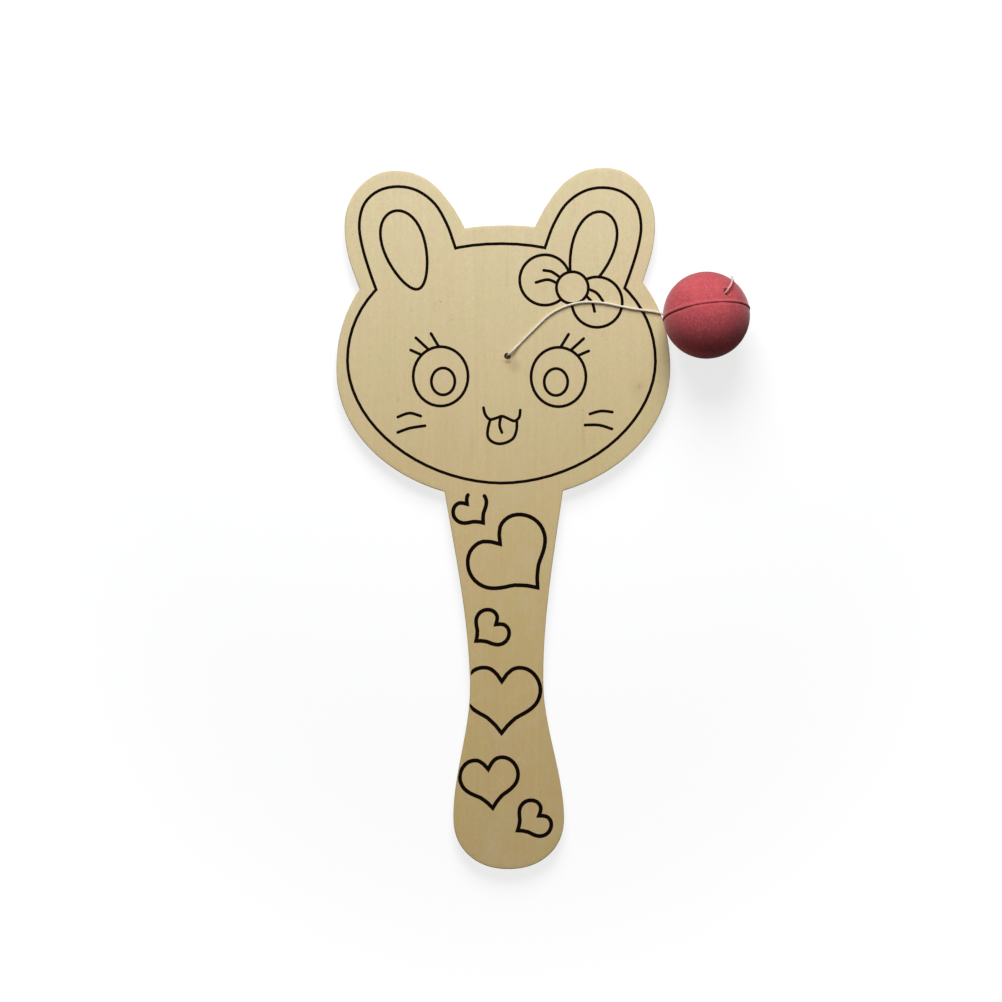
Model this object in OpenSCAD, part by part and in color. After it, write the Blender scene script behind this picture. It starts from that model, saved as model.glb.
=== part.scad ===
// Paddle ball game: a flat plywood paddle with a rabbit's head and a printed face,
// a hollow rubber ball, and the elastic cord that ties the ball to the paddle.
// It lies on a table: Z is up, Y runs from the handle to the ears, and the origin is on
// the back face at the middle of the head's widest line.

/* [Plywood blank] */
// Thickness of one of the three veneers
ply_t = 1.5; // [0.9:0.1:3]
// Width of the round head
head_w = 119.2; // [112:0.2:126]
// Height of the head above its widest line
head_top_h = 51.5; // [46:0.5:56]
// Depth of the head below its widest line
head_bottom_h = 46.5; // [44:0.5:56]
// Sideways distance from the centre line to the middle of an ear
ear_x = 36.2; // [30:0.2:40]
// Height of the middle of an ear above the widest line
ear_y = 52.2; // [46:0.2:58]
// Half the width of an ear
ear_r = 19.4; // [16:0.2:24]
// Width of the handle where it leaves the head
neck_w = 43.2; // [34:0.2:54]
// Distance of the neck below the widest line
neck_y = 40.6; // [38:0.2:43]
// Width of the handle at its narrowest
waist_w = 26.2; // [20:0.2:32]
// Distance of the narrowest place below the widest line
waist_y = 112.5; // [90:0.5:125]
// Width of the handle at its broad end
grip_w = 39.5; // [33:0.5:48]
// Distance of the broadest place of the handle below the widest line
grip_y = 160.2; // [145:0.2:175]
// Length of the handle's round end beyond its broadest place
grip_end_h = 18.2; // [12:0.2:24]
// Sideways shift of the ears and the handle from the middle of the head
side_x = -0.5; // [-2:0.1:2]

/* [String hole] */
// Diameter of the hole that the elastic comes through
hole_d = 2.1; // [1.9:0.1:2.8]
// Sideways place of the hole
hole_x = 1.5; // [-4:0.1:4]
// Height of the hole above the widest line
hole_y = 4.8; // [0:0.1:10]
// Diameter of the recess that hides the knot in the back
recess_d = 4.2; // [4:0.1:8]
// Depth of the recess
recess_h = 2.6; // [2.5:0.05:2.9]

/* [Printed face] */
// Thickness of the ink film
ink_t = 0.08; // [0.04:0.01:0.12]
// Width of the lines of the face
line_w = 1.05; // [0.5:0.05:1.3]
// Turn of the whole print on the blank, in degrees
print_turn = -1.15; // [-3:0.05:3]
// Sideways shift of the whole print on the blank
print_x = -0.7; // [-2:0.1:2]
// Width of the head's printed line
face_w = 110; // [100:0.5:114]
// Height of the printed line above its widest place
face_top_h = 42; // [36:0.5:46]
// Depth of the printed line below its widest place
face_bottom_h = 43.5; // [38:0.5:46]
// Height of the printed line's widest place
face_y = 3; // [0:0.1:5]
// Unit of the printed ear's line
ear_line_r = 13.7; // [11:0.1:15]
// Sideways shift of both printed ears
ears_x = -0.7; // [-2:0.1:2]
// Height of the loop inside each ear
ear_loop_h = 29.2; // [20:0.2:32]
// Width of the loop inside each ear
ear_loop_w = 14.7; // [10:0.1:18]
// Distance between the loops' middles
ear_loops_gap = 66.4; // [62:0.2:72]
// Sideways place of the middle between the loops
ear_loops_x = -1.2; // [-3:0.1:3]
// Height of the loops' middles
ear_loop_y = 42.5; // [40:0.1:46]
// Lean of the loops, in degrees
ear_loop_lean = 18.5; // [5:0.5:30]
// Width of an eye
eye_w = 19.6; // [14:0.2:24]
// Height of an eye
eye_h = 21.2; // [16:0.2:26]
// Distance between the eyes
eyes_gap = 42.1; // [36:0.1:46]
// Sideways place of the middle between the eyes
eyes_x = -0.65; // [-2:0.05:2]
// Height of the eyes' middles
eye_y = -2.5; // [-6:0.1:2]
// Width of a pupil
pupil_w = 8.4; // [5:0.1:11]
// Height of a pupil
pupil_h = 9.6; // [6:0.1:12]
// Distance of a pupil from its eye's middle towards the nose
pupil_in = 0.9; // [0:0.1:3]
// Distance of a pupil below its eye's middle
pupil_drop = 1.8; // [0:0.1:4]
// Sideways place of the mouth
mouth_x = 0.3; // [-2:0.1:2]
// Height of the mouth's middle peak
mouth_y = -16.6; // [-22:0.1:-12]
// Width of the mouth
mouth_w = 13; // [9:0.2:20]
// Length of the tongue
tongue_h = 9.4; // [6:0.2:14]
// Length of a whisker
whisker_l = 9; // [5:0.2:14]
// Diameter of the bow's knot
bow_knot_d = 11.4; // [8:0.2:14]
// Diameter of each round loop of the bow
bow_loop_d = 18; // [14:0.2:20]
// Sideways place of the bow
bow_x = 25.2; // [20:0.2:28]
// Height of the bow
bow_y = 29.4; // [26:0.2:32]
// Distance from the knot's middle to a loop's middle
bow_reach = 10.2; // [8:0.1:13]

/* [Printed hearts] */
// Width of the hearts' lines
heart_line_w = 1.4; // [0.6:0.05:1.6]
// Length of the largest heart, from its notch to its point
heart_l = 20.7; // [14:0.1:22]

/* [Ball] */
// Diameter of the ball
ball_d = 31; // [26:0.5:31.2]
// Thickness of the rubber wall
ball_wall = 4; // [3:0.1:6]
// Sideways place of the ball beside the paddle
ball_x = 72.3; // [72.3:0.1:80]
// Height of the ball beside the paddle
ball_y = 17.9; // [16:0.1:22]
// Thickness of the lip that the mould leaves along the seam
lip_d = 1.1; // [0.6:0.1:1.6]
// How far the lip stands out of the ball
lip_out = 0.25; // [0.1:0.05:0.25]
// Lean of the seam's axis from upright, in degrees
seam_tilt = 103.5; // [95:0.5:120]
// Turn of the seam's axis about upright, in degrees
seam_turn = 96.5; // [80:0.5:115]
// Diameter of the hole that takes the elastic
ball_hole_d = 1.9; // [1.9:0.1:3]
// Diameter of the dimple at the hole's mouth
dimple_d = 3.2; // [3.1:0.1:4.5]
// Depth of the dimple
dimple_h = 1; // [0.4:0.1:2]
// Angle of the hole from the top of the ball, in degrees
ball_hole_tilt = 42; // [41.3:0.1:42.7]
// Turn of the hole about upright, in degrees
ball_hole_turn = 48.2; // [47.6:0.1:48.8]

/* [Elastic cord] */
// Diameter of the elastic
cord_d = 0.85; // [0.8:0.05:1]
// Diameter of the knot behind the paddle
knot_d = 3; // [2.6:0.1:3.4]
// Height of the knot behind the paddle
knot_h = 2.2; // [1.6:0.1:2.2]
// Diameter of the knot inside the ball
ball_knot_d = 3.4; // [3:0.1:5]
// Radius of the stored coil's outer turn, at the middle of the cord
coil_r = 13.6; // [13.2:0.1:14]
// Turns in each of the coil's two layers
coil_turns = 2.211; // [2.211:0.5:2.711]
// Sideways step from turn to turn
coil_pitch = 1.5; // [1.45:0.05:1.8]
// Rise from the lower layer to the upper one
layer_rise = 1.48; // [1.45:0.01:1.7]
// Angle about the ball at which the coil begins, in degrees
coil_start = 230; // [226:1:234]
// Gap that keeps separate pieces from touching
gap = 0.2; // [0.1:0.05:0.3]

/* [Hidden] */

wood_face = [0.86, 0.80, 0.65];
wood_core = [0.78, 0.68, 0.50];
ink = [0.08, 0.04, 0.02];
elastic_white = [0.93, 0.91, 0.86];
rubber_red = [0.72, 0.25, 0.28];

$fn = 64;
overrun = 1;
blank_t = 3 * ply_t;
ball_r = ball_d / 2;
ball_mid = [ball_x, ball_y, ball_r];
cord_r = cord_d / 2;

// How square the curves are: 2 is an ellipse, more is squarer
head_top_square = 2.2;
head_bottom_square = 2;
face_top_square = 2.1;
face_bottom_square = 1.9;
grip_square = 2.15;
// How fast each side of the handle closes in below the head
neck_slope = 0.155;

// One ear of the blank, from its inner notch round to its outer one, in shares of ear_r
ear_shares = [
    [-1.27, -0.18], [-1.04, 0.26], [-0.71, 0.69], [-0.37, 0.92], [0.02, 1.00], [0.41, 0.93],
    [0.74, 0.68], [0.94, 0.32], [0.99, -0.08], [0.94, -0.52], [0.80, -0.98], [0.69, -1.26],
];
// How much wider a loop in an ear gets towards its top
ear_loop_swell_share = 0.22;
// The printed ear round the same middle, in shares of ear_line_r
ear_line_shares = [
    [-1.56, -0.90], [-1.43, -0.50], [-1.25, -0.02], [-0.94, 0.50], [-0.49, 0.84], [0.02, 0.95],
    [0.53, 0.84], [0.90, 0.50], [1.03, -0.02], [0.96, -0.58], [0.76, -1.25], [0.56, -1.80],
];
// Right half of a heart, from its notch to its point, in shares of its length
heart_shares = [
    [0, 0], [0.09, 0.13], [0.20, 0.23], [0.33, 0.265], [0.48, 0.24], [0.61, 0.15],
    [0.70, 0.02], [0.74, -0.13], [0.725, -0.28], [0.66, -0.42], [0.55, -0.53],
    [0.42, -0.615], [0.27, -0.70], [0.11, -0.85], [0, -0.99],
];
// Each heart: the place of its notch in shares of grip_w and grip_y, its length in shares
// of heart_l, and its turn in degrees
heart_rows_shares = [
    [-0.304, -0.3, 0.43, 41],
    [-0.003, -0.389, 1, 41],
    [-0.038, -0.568, 0.45, -50],
    [0.018, -0.695, 0.9, 0],
    [-0.101, -0.891, 0.68, 7],
    [0.359, -0.994, 0.45, -55],
];
// The first heart stays open between these two points of its ring, counted from its notch
open_heart_points = [4, 14];
// Lashes: angle at the eye, angle at the tip, and length, the last in shares of eye_h
lash_shares = [[86, 77, 0.24], [64, 57, 0.28], [46, 41, 0.19]];
// Left whiskers and right whiskers: start, middle and end, in shares of whisker_l
whisker_shares = [
    [[-4.10, -1.90], [-3.64, -1.74], [-3.19, -1.86]],
    [[-4.10, -2.51], [-3.63, -2.34], [-3.02, -2.24]],
    [[3.52, -1.74], [3.96, -1.62], [4.41, -1.66]],
    [[3.33, -2.18], [3.89, -2.18], [4.40, -2.33]],
];
// The mouth's line from left to right, in shares of mouth_w
mouth_shares = [
    [-0.51, 0.23], [-0.46, 0.04], [-0.33, -0.09], [-0.15, -0.05], [0, 0],
    [0.16, -0.06], [0.34, -0.13], [0.47, -0.03], [0.50, 0.17],
];
// The tongue: across in shares of mouth_w, down in shares of tongue_h
tongue_shares = [
    [-0.32, -0.13], [-0.38, -0.45], [-0.39, -0.76], [-0.28, -0.96], [-0.08, -1.05],
    [0.14, -0.99], [0.32, -0.82], [0.40, -0.52], [0.41, -0.22],
];
// The crease of the tongue, in the same shares
crease_shares = [[-0.03, -0.03], [-0.06, -0.22], [-0.06, -0.40], [0, -0.62]];
// Directions of the bow's left and right loops, in degrees
bow_loop_turns = [164.6, -30];
// Folds of the bow: two points each, in shares of bow_knot_d from the knot's middle
fold_shares = [
    [[-0.44, 0.36], [-0.66, 0.50], [-0.90, 0.54]],
    [[-0.52, 0.16], [-0.78, 0.25], [-1.14, 0.16]],
    [[0.50, -0.04], [0.76, -0.16], [0.96, -0.42]],
    [[0.44, -0.26], [0.62, -0.46], [0.70, -0.74]],
];

// The elastic's route over the face, from the knot in the back to the table beside the ball
lead_points = [
    [1.5, 4.8, 3.4], [1.6, 4.9, 4.3], [2.0, 5.3, 5.1], [2.6, 5.9, 5.6], [3.5, 6.8, 5.7],
    [4.7, 8.0, 5.4], [6.2, 9.4, 5.05], [8.3, 11.5, 5.05], [10.8, 13.9, 5.05], [13.3, 16.3, 5.05],
    [16.2, 18.9, 5.05], [20.0, 21.2, 5.05], [24.2, 22.8, 5.05], [28.4, 23.6, 5.05],
    [32.6, 23.6, 5.05], [37.0, 23.1, 5.05], [41.6, 22.1, 5.05], [46.4, 21.1, 5.05],
    [50.6, 20.4, 5.05], [54.4, 19.8, 5.05], [55.7, 19.5, 5.05], [56.7, 19.2, 5.05],
    [57.5, 18.6, 5.0], [58.0, 17.8, 4.8], [58.2, 16.9, 4.4], [58.3, 15.8, 3.8],
    [58.6, 14.6, 3.1], [59.0, 13.4, 2.4], [59.4, 12.1, 1.7], [60.2, 11.0, 1.1],
    [61.0, 10.0, 0.7],
];
// Its route up from the coil and over the ball's shoulder to the hole
tail_points = [
    [83.8, 25.9, 2.4], [83.5, 27.0, 3.2], [83.2, 27.9, 4.4], [82.9, 28.8, 5.8],
    [82.6, 29.5, 7.4], [82.2, 30.2, 9.3], [81.9, 30.8, 11.3], [81.7, 31.2, 13.3],
    [81.6, 31.3, 15.4], [81.6, 31.2, 17.4], [81.5, 30.8, 19.4], [81.4, 30.2, 21.2],
    [81.2, 29.6, 22.9], [81.0, 29.0, 24.4], [80.7, 28.3, 25.7], [80.3, 27.6, 26.6],
    [79.8, 26.8, 27.0], [79.3, 26.0, 26.9],
];
// Places along the hole's own axis, in shares of the ball's radius
tail_end_shares = [0.94, 0.83];
sharpest_share = 0.35;
ear_steps = 4;
heart_steps = 2;
round_steps = 72;
loop_steps = 40;
turn_steps = 24;

function unit(v) = v / norm(v);
function sign_of(v) = v < 0 ? -1 : 1;
function flip(p) = [for (i = [len(p) - 1:-1:0]) p[i]];
function scaled(p, size) = [for (q = p) [for (k = [0:len(q) - 1]) q[k] * size]];
function placed(p, at) = [for (q = p) q + at];
function mirrored(p) = [for (q = p) [-q[0], q[1]]];
function turned(p, a) = [for (q = p) [q[0] * cos(a) - q[1] * sin(a), q[0] * sin(a) + q[1] * cos(a)]];

// A round form whose top and bottom halves may differ in height and squareness
function round_form(w, top, bottom, top_square, bottom_square, steps) = [
    for (i = [0:steps - 1])
        let (a = 360 * i / steps)
        let (power = 2 / (sin(a) >= 0 ? top_square : bottom_square))
        let (h = sin(a) >= 0 ? top : bottom)
        [w / 2 * sign_of(cos(a)) * pow(abs(cos(a)), power), h * sign_of(sin(a)) * pow(abs(sin(a)), power)]
];

// A smooth curve through the points p, with k steps from each to the next
function between(a, b, c, d, t) =
    b + t * (c - a) / 2 + t * t * (2 * a - 5 * b + 4 * c - d) / 2 + t * t * t * (3 * b - a - 3 * c + d) / 2;
function curve(p, k) = [
    for (i = [0:len(p) - 2])
        for (j = [0:k - 1])
            between(p[max(i - 1, 0)], p[i], p[i + 1], p[min(i + 2, len(p) - 1)], j / k),
    p[len(p) - 1]
];

// Point b moved to the left of the way from a to c by d, with a mitre
function aside(a, b, c, d) =
    let (before = norm(b - a) > 0 ? unit(b - a) : unit(c - b))
    let (after = norm(c - b) > 0 ? unit(c - b) : before)
    let (n = [-before[1], before[0]])
    let (m = unit([-before[1] - after[1], before[0] + after[0]]))
    b + m * d / max(m * n, sharpest_share);
function beside(p, d) = [for (i = [0:len(p) - 1]) aside(p[max(i - 1, 0)], p[i], p[min(i + 1, len(p) - 1)], d)];
function ring_beside(p, d) = [
    for (i = [0:len(p) - 1]) aside(p[(i + len(p) - 1) % len(p)], p[i], p[(i + 1) % len(p)], d)
];
// Round end of a pen line at p, which runs on along v
function pen_end(p, v, r) =
    let (a = atan2(v[1], v[0]))
    [for (k = [60, 30, 0, -30, -60]) p + r * [cos(a + k), sin(a + k)]];

module pen_line(p, w) {
    last = len(p) - 1;
    polygon(concat(
        beside(p, w / 2),
        pen_end(p[last], p[last] - p[last - 1], w / 2),
        flip(beside(p, -w / 2)),
        pen_end(p[0], p[0] - p[1], w / 2)
    ));
}

module pen_ring(p, w) {
    difference() {
        polygon(ring_beside(p, -w / 2));
        polygon(ring_beside(p, w / 2));
    }
}

// The blank
function handle_half(t, w0, w1, slope, h) =
    w0 * (1 + 2 * t) * (1 - t) * (1 - t) + w1 * t * t * (3 - 2 * t) - slope * h * t * (1 - t) * (1 - t);
function handle_side() = concat(
    [
        for (i = [0:11])
            let (t = i / 12)
            [
                handle_half(t, neck_w / 2, waist_w / 2, neck_slope, waist_y - neck_y),
                -neck_y - t * (waist_y - neck_y)
            ]
    ],
    [
        for (i = [0:11])
            let (t = i / 12)
            [handle_half(t, waist_w / 2, grip_w / 2, 0, grip_y - waist_y), -waist_y - t * (grip_y - waist_y)]
    ],
    [
        for (i = [0:15])
            let (a = 90 * i / 16)
            [
                grip_w / 2 * pow(cos(a), 2 / grip_square),
                -grip_y - grip_end_h * pow(sin(a), 2 / grip_square)
            ]
    ]
);

function handle_outline() =
    let (side = concat([[neck_w / 2, 0]], handle_side()))
    concat(side, [[0, -grip_y - grip_end_h]], flip(mirrored(side)));
function ear_outline() = placed(curve(scaled(ear_shares, ear_r), ear_steps), [ear_x, ear_y]);
function head_outline() =
    round_form(head_w, head_top_h, head_bottom_h, head_top_square, head_bottom_square, round_steps);

module handle_blank(t) {
    translate([side_x, 0, 0]) linear_extrude(t) polygon(handle_outline());
}

module blank(t) {
    linear_extrude(t) polygon(head_outline());
    translate([side_x, 0, 0]) {
        linear_extrude(t) polygon(ear_outline());
        mirror([1, 0, 0]) linear_extrude(t) polygon(ear_outline());
    }
    handle_blank(t);
}

module string_hole() {
    translate([hole_x, hole_y, -overrun]) cylinder(d = hole_d, h = blank_t + 2 * overrun);
}

module knot_recess() {
    translate([hole_x, hole_y, -overrun]) cylinder(d = recess_d, h = recess_h + overrun);
}

module veneer(level) {
    difference() {
        translate([0, 0, level * ply_t]) blank(ply_t);
        string_hole();
        knot_recess();
    }
}

module front_veneer() {
    color(wood_face) veneer(2);
}

module core_veneer() {
    color(wood_core) veneer(1);
}

module back_veneer() {
    color(wood_face) veneer(0);
}

// The print
function ear_line() = placed(curve(scaled(ear_line_shares, ear_line_r), ear_steps), [ear_x, ear_y]);
function ear_loop() =
    let (oval = round_form(ear_loop_w, ear_loop_h / 2, ear_loop_h / 2, 2, 2, loop_steps))
    let (egg = [for (q = oval) [q[0] * (1 + ear_loop_swell_share * 2 * q[1] / ear_loop_h), q[1]]])
    placed(turned(egg, -ear_loop_lean), [ear_loops_gap / 2, ear_loop_y]);
function bow_loop_mid(k) =
    [bow_x, bow_y] + bow_reach * [cos(bow_loop_turns[k]), sin(bow_loop_turns[k])];

module head_area(grow, t) {
    form = round_form(face_w, face_top_h, face_bottom_h, face_top_square, face_bottom_square, round_steps);
    linear_extrude(t) translate([0, face_y]) polygon(ring_beside(form, -grow));
    translate([ears_x, 0, 0]) {
        linear_extrude(t) polygon(ring_beside(ear_line(), grow));
        mirror([1, 0, 0]) linear_extrude(t) polygon(ring_beside(ear_line(), grow));
    }
}

module head_ink() {
    difference() {
        head_area(line_w / 2, ink_t);
        translate([0, 0, -overrun]) head_area(-line_w / 2, ink_t + 2 * overrun);
    }
}

module ear_loop_ink() {
    linear_extrude(ink_t) pen_ring(ear_loop(), line_w);
}

module ear_ink() {
    translate([ear_loops_x, 0, 0]) mirror([1, 0, 0]) ear_loop_ink();
    difference() {
        translate([ear_loops_x, 0, 0]) ear_loop_ink();
        bow_disc(0, 0);
        bow_disc(1, 0);
        bow_disc(2, 0);
    }
}

// The bow's two loops and its knot, which is drawn in front of them
module bow_disc(k, grow) {
    d = k < 2 ? bow_loop_d : bow_knot_d;
    at = k < 2 ? bow_loop_mid(k) : [bow_x, bow_y];
    translate([at[0], at[1], -overrun]) cylinder(d = d + 2 * grow, h = ink_t + 2 * overrun);
}

module bow_circle(k) {
    d = k < 2 ? bow_loop_d : bow_knot_d;
    at = k < 2 ? bow_loop_mid(k) : [bow_x, bow_y];
    difference() {
        translate([at[0], at[1], 0]) cylinder(d = d + line_w, h = ink_t);
        bow_disc(k, -line_w / 2);
    }
}

module bow_ink() {
    difference() {
        union() {
            bow_circle(0);
            bow_circle(1);
        }
        bow_disc(2, 0);
    }
    bow_circle(2);
}

module fold_ink() {
    for (fold = fold_shares)
        linear_extrude(ink_t)
            pen_line(placed(curve(scaled(fold, bow_knot_d), ear_steps), [bow_x, bow_y]), line_w);
}

module eye_ink() {
    eye = round_form(eye_w, eye_h / 2, eye_h / 2, 2, 2, loop_steps);
    pupil = round_form(pupil_w, pupil_h / 2, pupil_h / 2, 2, 2, loop_steps);
    linear_extrude(ink_t) pen_ring(eye, line_w);
    translate([-pupil_in, -pupil_drop, 0]) linear_extrude(ink_t) pen_ring(pupil, line_w);
    for (lash = lash_shares) {
        root = [eye_w / 2 * cos(lash[0]), eye_h / 2 * sin(lash[0])];
        tip = (norm(root) + lash[2] * eye_h) * [cos(lash[1]), sin(lash[1])];
        linear_extrude(ink_t) pen_line([root, tip], line_w);
    }
}

module mouth_ink() {
    tongue = [for (q = tongue_shares) [q[0] * mouth_w, q[1] * tongue_h]];
    crease = [for (q = crease_shares) [q[0] * mouth_w, q[1] * tongue_h]];
    linear_extrude(ink_t) pen_line(curve(scaled(mouth_shares, mouth_w), ear_steps), line_w);
    linear_extrude(ink_t) pen_line(curve(tongue, ear_steps), line_w);
    linear_extrude(ink_t) pen_line(curve(crease, ear_steps), line_w);
}

module whisker_ink() {
    for (whisker = whisker_shares)
        linear_extrude(ink_t) pen_line(curve(scaled(whisker, whisker_l), ear_steps), line_w);
}

module printed() {
    translate([print_x, 0, blank_t]) rotate([0, 0, print_turn]) children();
}

module face_print() {
    color(ink)
        printed() {
            head_ink();
            ear_ink();
            bow_ink();
            fold_ink();
            translate([eyes_x + eyes_gap / 2, eye_y, 0]) eye_ink();
            translate([eyes_x - eyes_gap / 2, eye_y, 0]) mirror([1, 0, 0]) eye_ink();
            translate([mouth_x, mouth_y, 0]) mouth_ink();
            whisker_ink();
        }
}

function heart(l) =
    let (last = len(heart_shares) - 1)
    let (lobe = [for (i = [1:last - 1]) heart_shares[i] * l])
    let (half = concat([[0, 0]], curve(lobe, heart_steps), [heart_shares[last] * l]))
    concat(half, [for (i = [len(half) - 2:-1:1]) [-half[i][0], half[i][1]]]);

function opened(ring, from, to) = [for (i = [to:len(ring) + from]) ring[i % len(ring)]];

module heart_ink(i) {
    row = heart_rows_shares[i];
    ring = heart(row[2] * heart_l);
    translate([row[0] * grip_w, row[1] * grip_y, 0])
        rotate([0, 0, row[3]])
            linear_extrude(ink_t)
                if (i == 0)
                    pen_line(opened(ring, open_heart_points[0], open_heart_points[1]), heart_line_w);
                else
                    pen_ring(flip(ring), heart_line_w);
}

module heart_print() {
    color(ink)
        intersection() {
            translate([0, 0, blank_t - overrun]) handle_blank(2 * overrun);
            printed() {
                for (i = [0:len(heart_rows_shares) - 1]) heart_ink(i);
            }
        }
}

// The elastic
function tangent(p, i) = unit(p[min(i + 1, len(p) - 1)] - p[max(i - 1, 0)]);
function square_to(n, t) = unit(n - (n * t) * t);
function any_side(t) = square_to(abs(t[2]) < 0.9 ? [0, 0, 1] : [1, 0, 0], t);
function side_ways(p) = [
    for (i = 0, n = any_side(tangent(p, 0)); i < len(p); i = i + 1, n = square_to(n, tangent(p, min(i, len(p) - 1)))) n
];

// One unbroken tube round the points p
module tube(p, r, sides) {
    ways = side_ways(p);
    rings = len(p);
    points = [
        for (i = [0:rings - 1])
            let (n = ways[i])
            let (b = cross(tangent(p, i), n))
            for (k = [0:sides - 1])
                p[i] + r * (cos(360 * k / sides) * n + sin(360 * k / sides) * b)
    ];
    last = (rings - 1) * sides;
    faces = concat(
        [for (k = [1:sides - 2]) [0, k, k + 1]],
        [for (k = [1:sides - 2]) [last, last + k + 1, last + k]],
        [
            for (i = [0:rings - 2])
                for (k = [0:sides - 1])
                    let (a = i * sides + k)
                    let (b = i * sides + (k + 1) % sides)
                    for (f = [[a, a + sides, b], [b, a + sides, b + sides]]) f
        ]
    );
    polyhedron(points = points, faces = faces);
}

// The stored coil: it spirals in on the table, climbs while it reverses, and spirals out on top
coil_sweep = 2 * 360 * coil_turns;
coil_rings = round(2 * coil_turns * turn_steps);
function coil_point(a) =
    let (from_middle = a - coil_sweep / 2)
    let (r = coil_r - coil_pitch * (coil_turns - abs(from_middle) / 360))
    let (climbed = min(max(from_middle / 180 + 0.5, 0), 1))
    ball_mid + [r * cos(coil_start + a), r * sin(coil_start + a), cord_r - ball_r + layer_rise * climbed];
coil_turn_points = [for (i = [0:coil_rings]) coil_point(coil_sweep * i / coil_rings)];
function coil_way(a) = [-sin(coil_start + a), cos(coil_start + a), 0];
coil_points = concat(
    [coil_turn_points[0] - cord_d * coil_way(0)],
    coil_turn_points,
    [coil_turn_points[coil_rings] + cord_d * coil_way(coil_sweep)]
);
coil_first = coil_points[0];
coil_last = coil_points[len(coil_points) - 1];

hole_way = [
    sin(ball_hole_tilt) * cos(ball_hole_turn),
    sin(ball_hole_tilt) * sin(ball_hole_turn),
    cos(ball_hole_tilt)
];
paddle_knot_top = recess_h - gap;
ball_knot_top = ball_r - ball_wall - 1.5 * gap;
lead_route = concat(
    [[hole_x, hole_y, paddle_knot_top]],
    lead_points,
    [coil_first - cord_d * coil_way(0), coil_first]
);
tail_route = concat(
    [coil_last, coil_last + cord_d * coil_way(coil_sweep)],
    tail_points,
    [for (s = tail_end_shares) ball_mid + s * ball_r * hole_way],
    [ball_mid + ball_knot_top * hole_way]
);

function route_length(p) = len(p) < 2 ? 0 : [for (i = 1, s = norm(p[1] - p[0]); i < len(p);
    i = i + 1, s = i < len(p) ? s + norm(p[i] - p[i - 1]) : s) s][len(p) - 2];
near_turn = turn_steps / 2;
least_gap = min([
    for (i = [0:len(coil_points) - 1])
        for (j = [i + near_turn:1:len(coil_points) - 1])
            norm(coil_points[i] - coil_points[j])
]) - cord_d;
echo(coil_least_gap = least_gap);
echo(lead_length = route_length(lead_route));
echo(coil_length = route_length(coil_points));
echo(tail_length = route_length(tail_route));

module paddle_knot() {
    color(elastic_white)
        translate([hole_x, hole_y, paddle_knot_top - knot_h / 2])
            intersection() {
                sphere(d = knot_d);
                cube([2 * knot_d, 2 * knot_d, knot_h], center = true);
            }
}

module elastic_lead() {
    color(elastic_white) tube(lead_route, cord_r, 8);
}

module elastic_coil() {
    color(elastic_white) tube(coil_points, cord_r, 6);
}

module elastic_tail() {
    color(elastic_white) tube(tail_route, cord_r, 8);
}

module along_hole() {
    translate(ball_mid) rotate([0, ball_hole_tilt, ball_hole_turn]) children();
}

module ball_knot() {
    flat = ball_knot_d / 2 - gap / 2;
    color(elastic_white)
        along_hole()
            translate([0, 0, ball_knot_top - flat])
                difference() {
                    sphere(d = ball_knot_d);
                    translate([-ball_knot_d, -ball_knot_d, flat]) cube(2 * ball_knot_d);
                }
}

// The ball
module ball_half() {
    difference() {
        sphere(r = ball_r, $fn = 128);
        sphere(r = ball_r - ball_wall);
        translate([-ball_d, -ball_d, -2 * ball_d]) cube(2 * ball_d);
    }
}

module ball_hole() {
    along_hole() {
        cylinder(d = ball_hole_d, h = ball_d);
        translate([0, 0, ball_r - dimple_h])
            cylinder(d1 = ball_hole_d, d2 = dimple_d + (dimple_d - ball_hole_d), h = 2 * dimple_h);
    }
}

module ball_upper_shell() {
    color(rubber_red)
        difference() {
            translate(ball_mid)
                rotate([0, seam_tilt, seam_turn]) {
                    ball_half();
                    rotate_extrude() translate([ball_r + lip_out - lip_d / 2, lip_d / 2]) circle(d = lip_d);
                }
            ball_hole();
        }
}

module ball_lower_shell() {
    color(rubber_red)
        translate(ball_mid)
            rotate([0, seam_tilt, seam_turn])
                mirror([0, 0, 1]) ball_half();
}

front_veneer();
core_veneer();
back_veneer();
face_print();
heart_print();
paddle_knot();
elastic_lead();
elastic_coil();
elastic_tail();
ball_knot();
ball_upper_shell();
ball_lower_shell();
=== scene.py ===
# %% [markdown]
# # A plywood paddle with a rubber ball on an elastic, dressed piece by piece
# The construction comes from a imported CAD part: three veneers, two prints, two knots, an elastic cord
# and the two halves of a ball. This lesson gives each of them the surface that it has on a real toy.
# Everything is in metres, in the part's own frame: the paddle lies on its back, its handle towards -Y.

# %% Load the part, and keep its box
import math

import bmesh
import bpy
import numpy as np
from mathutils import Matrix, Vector, noise
from mathutils.geometry import tessellate_polygon


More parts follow.
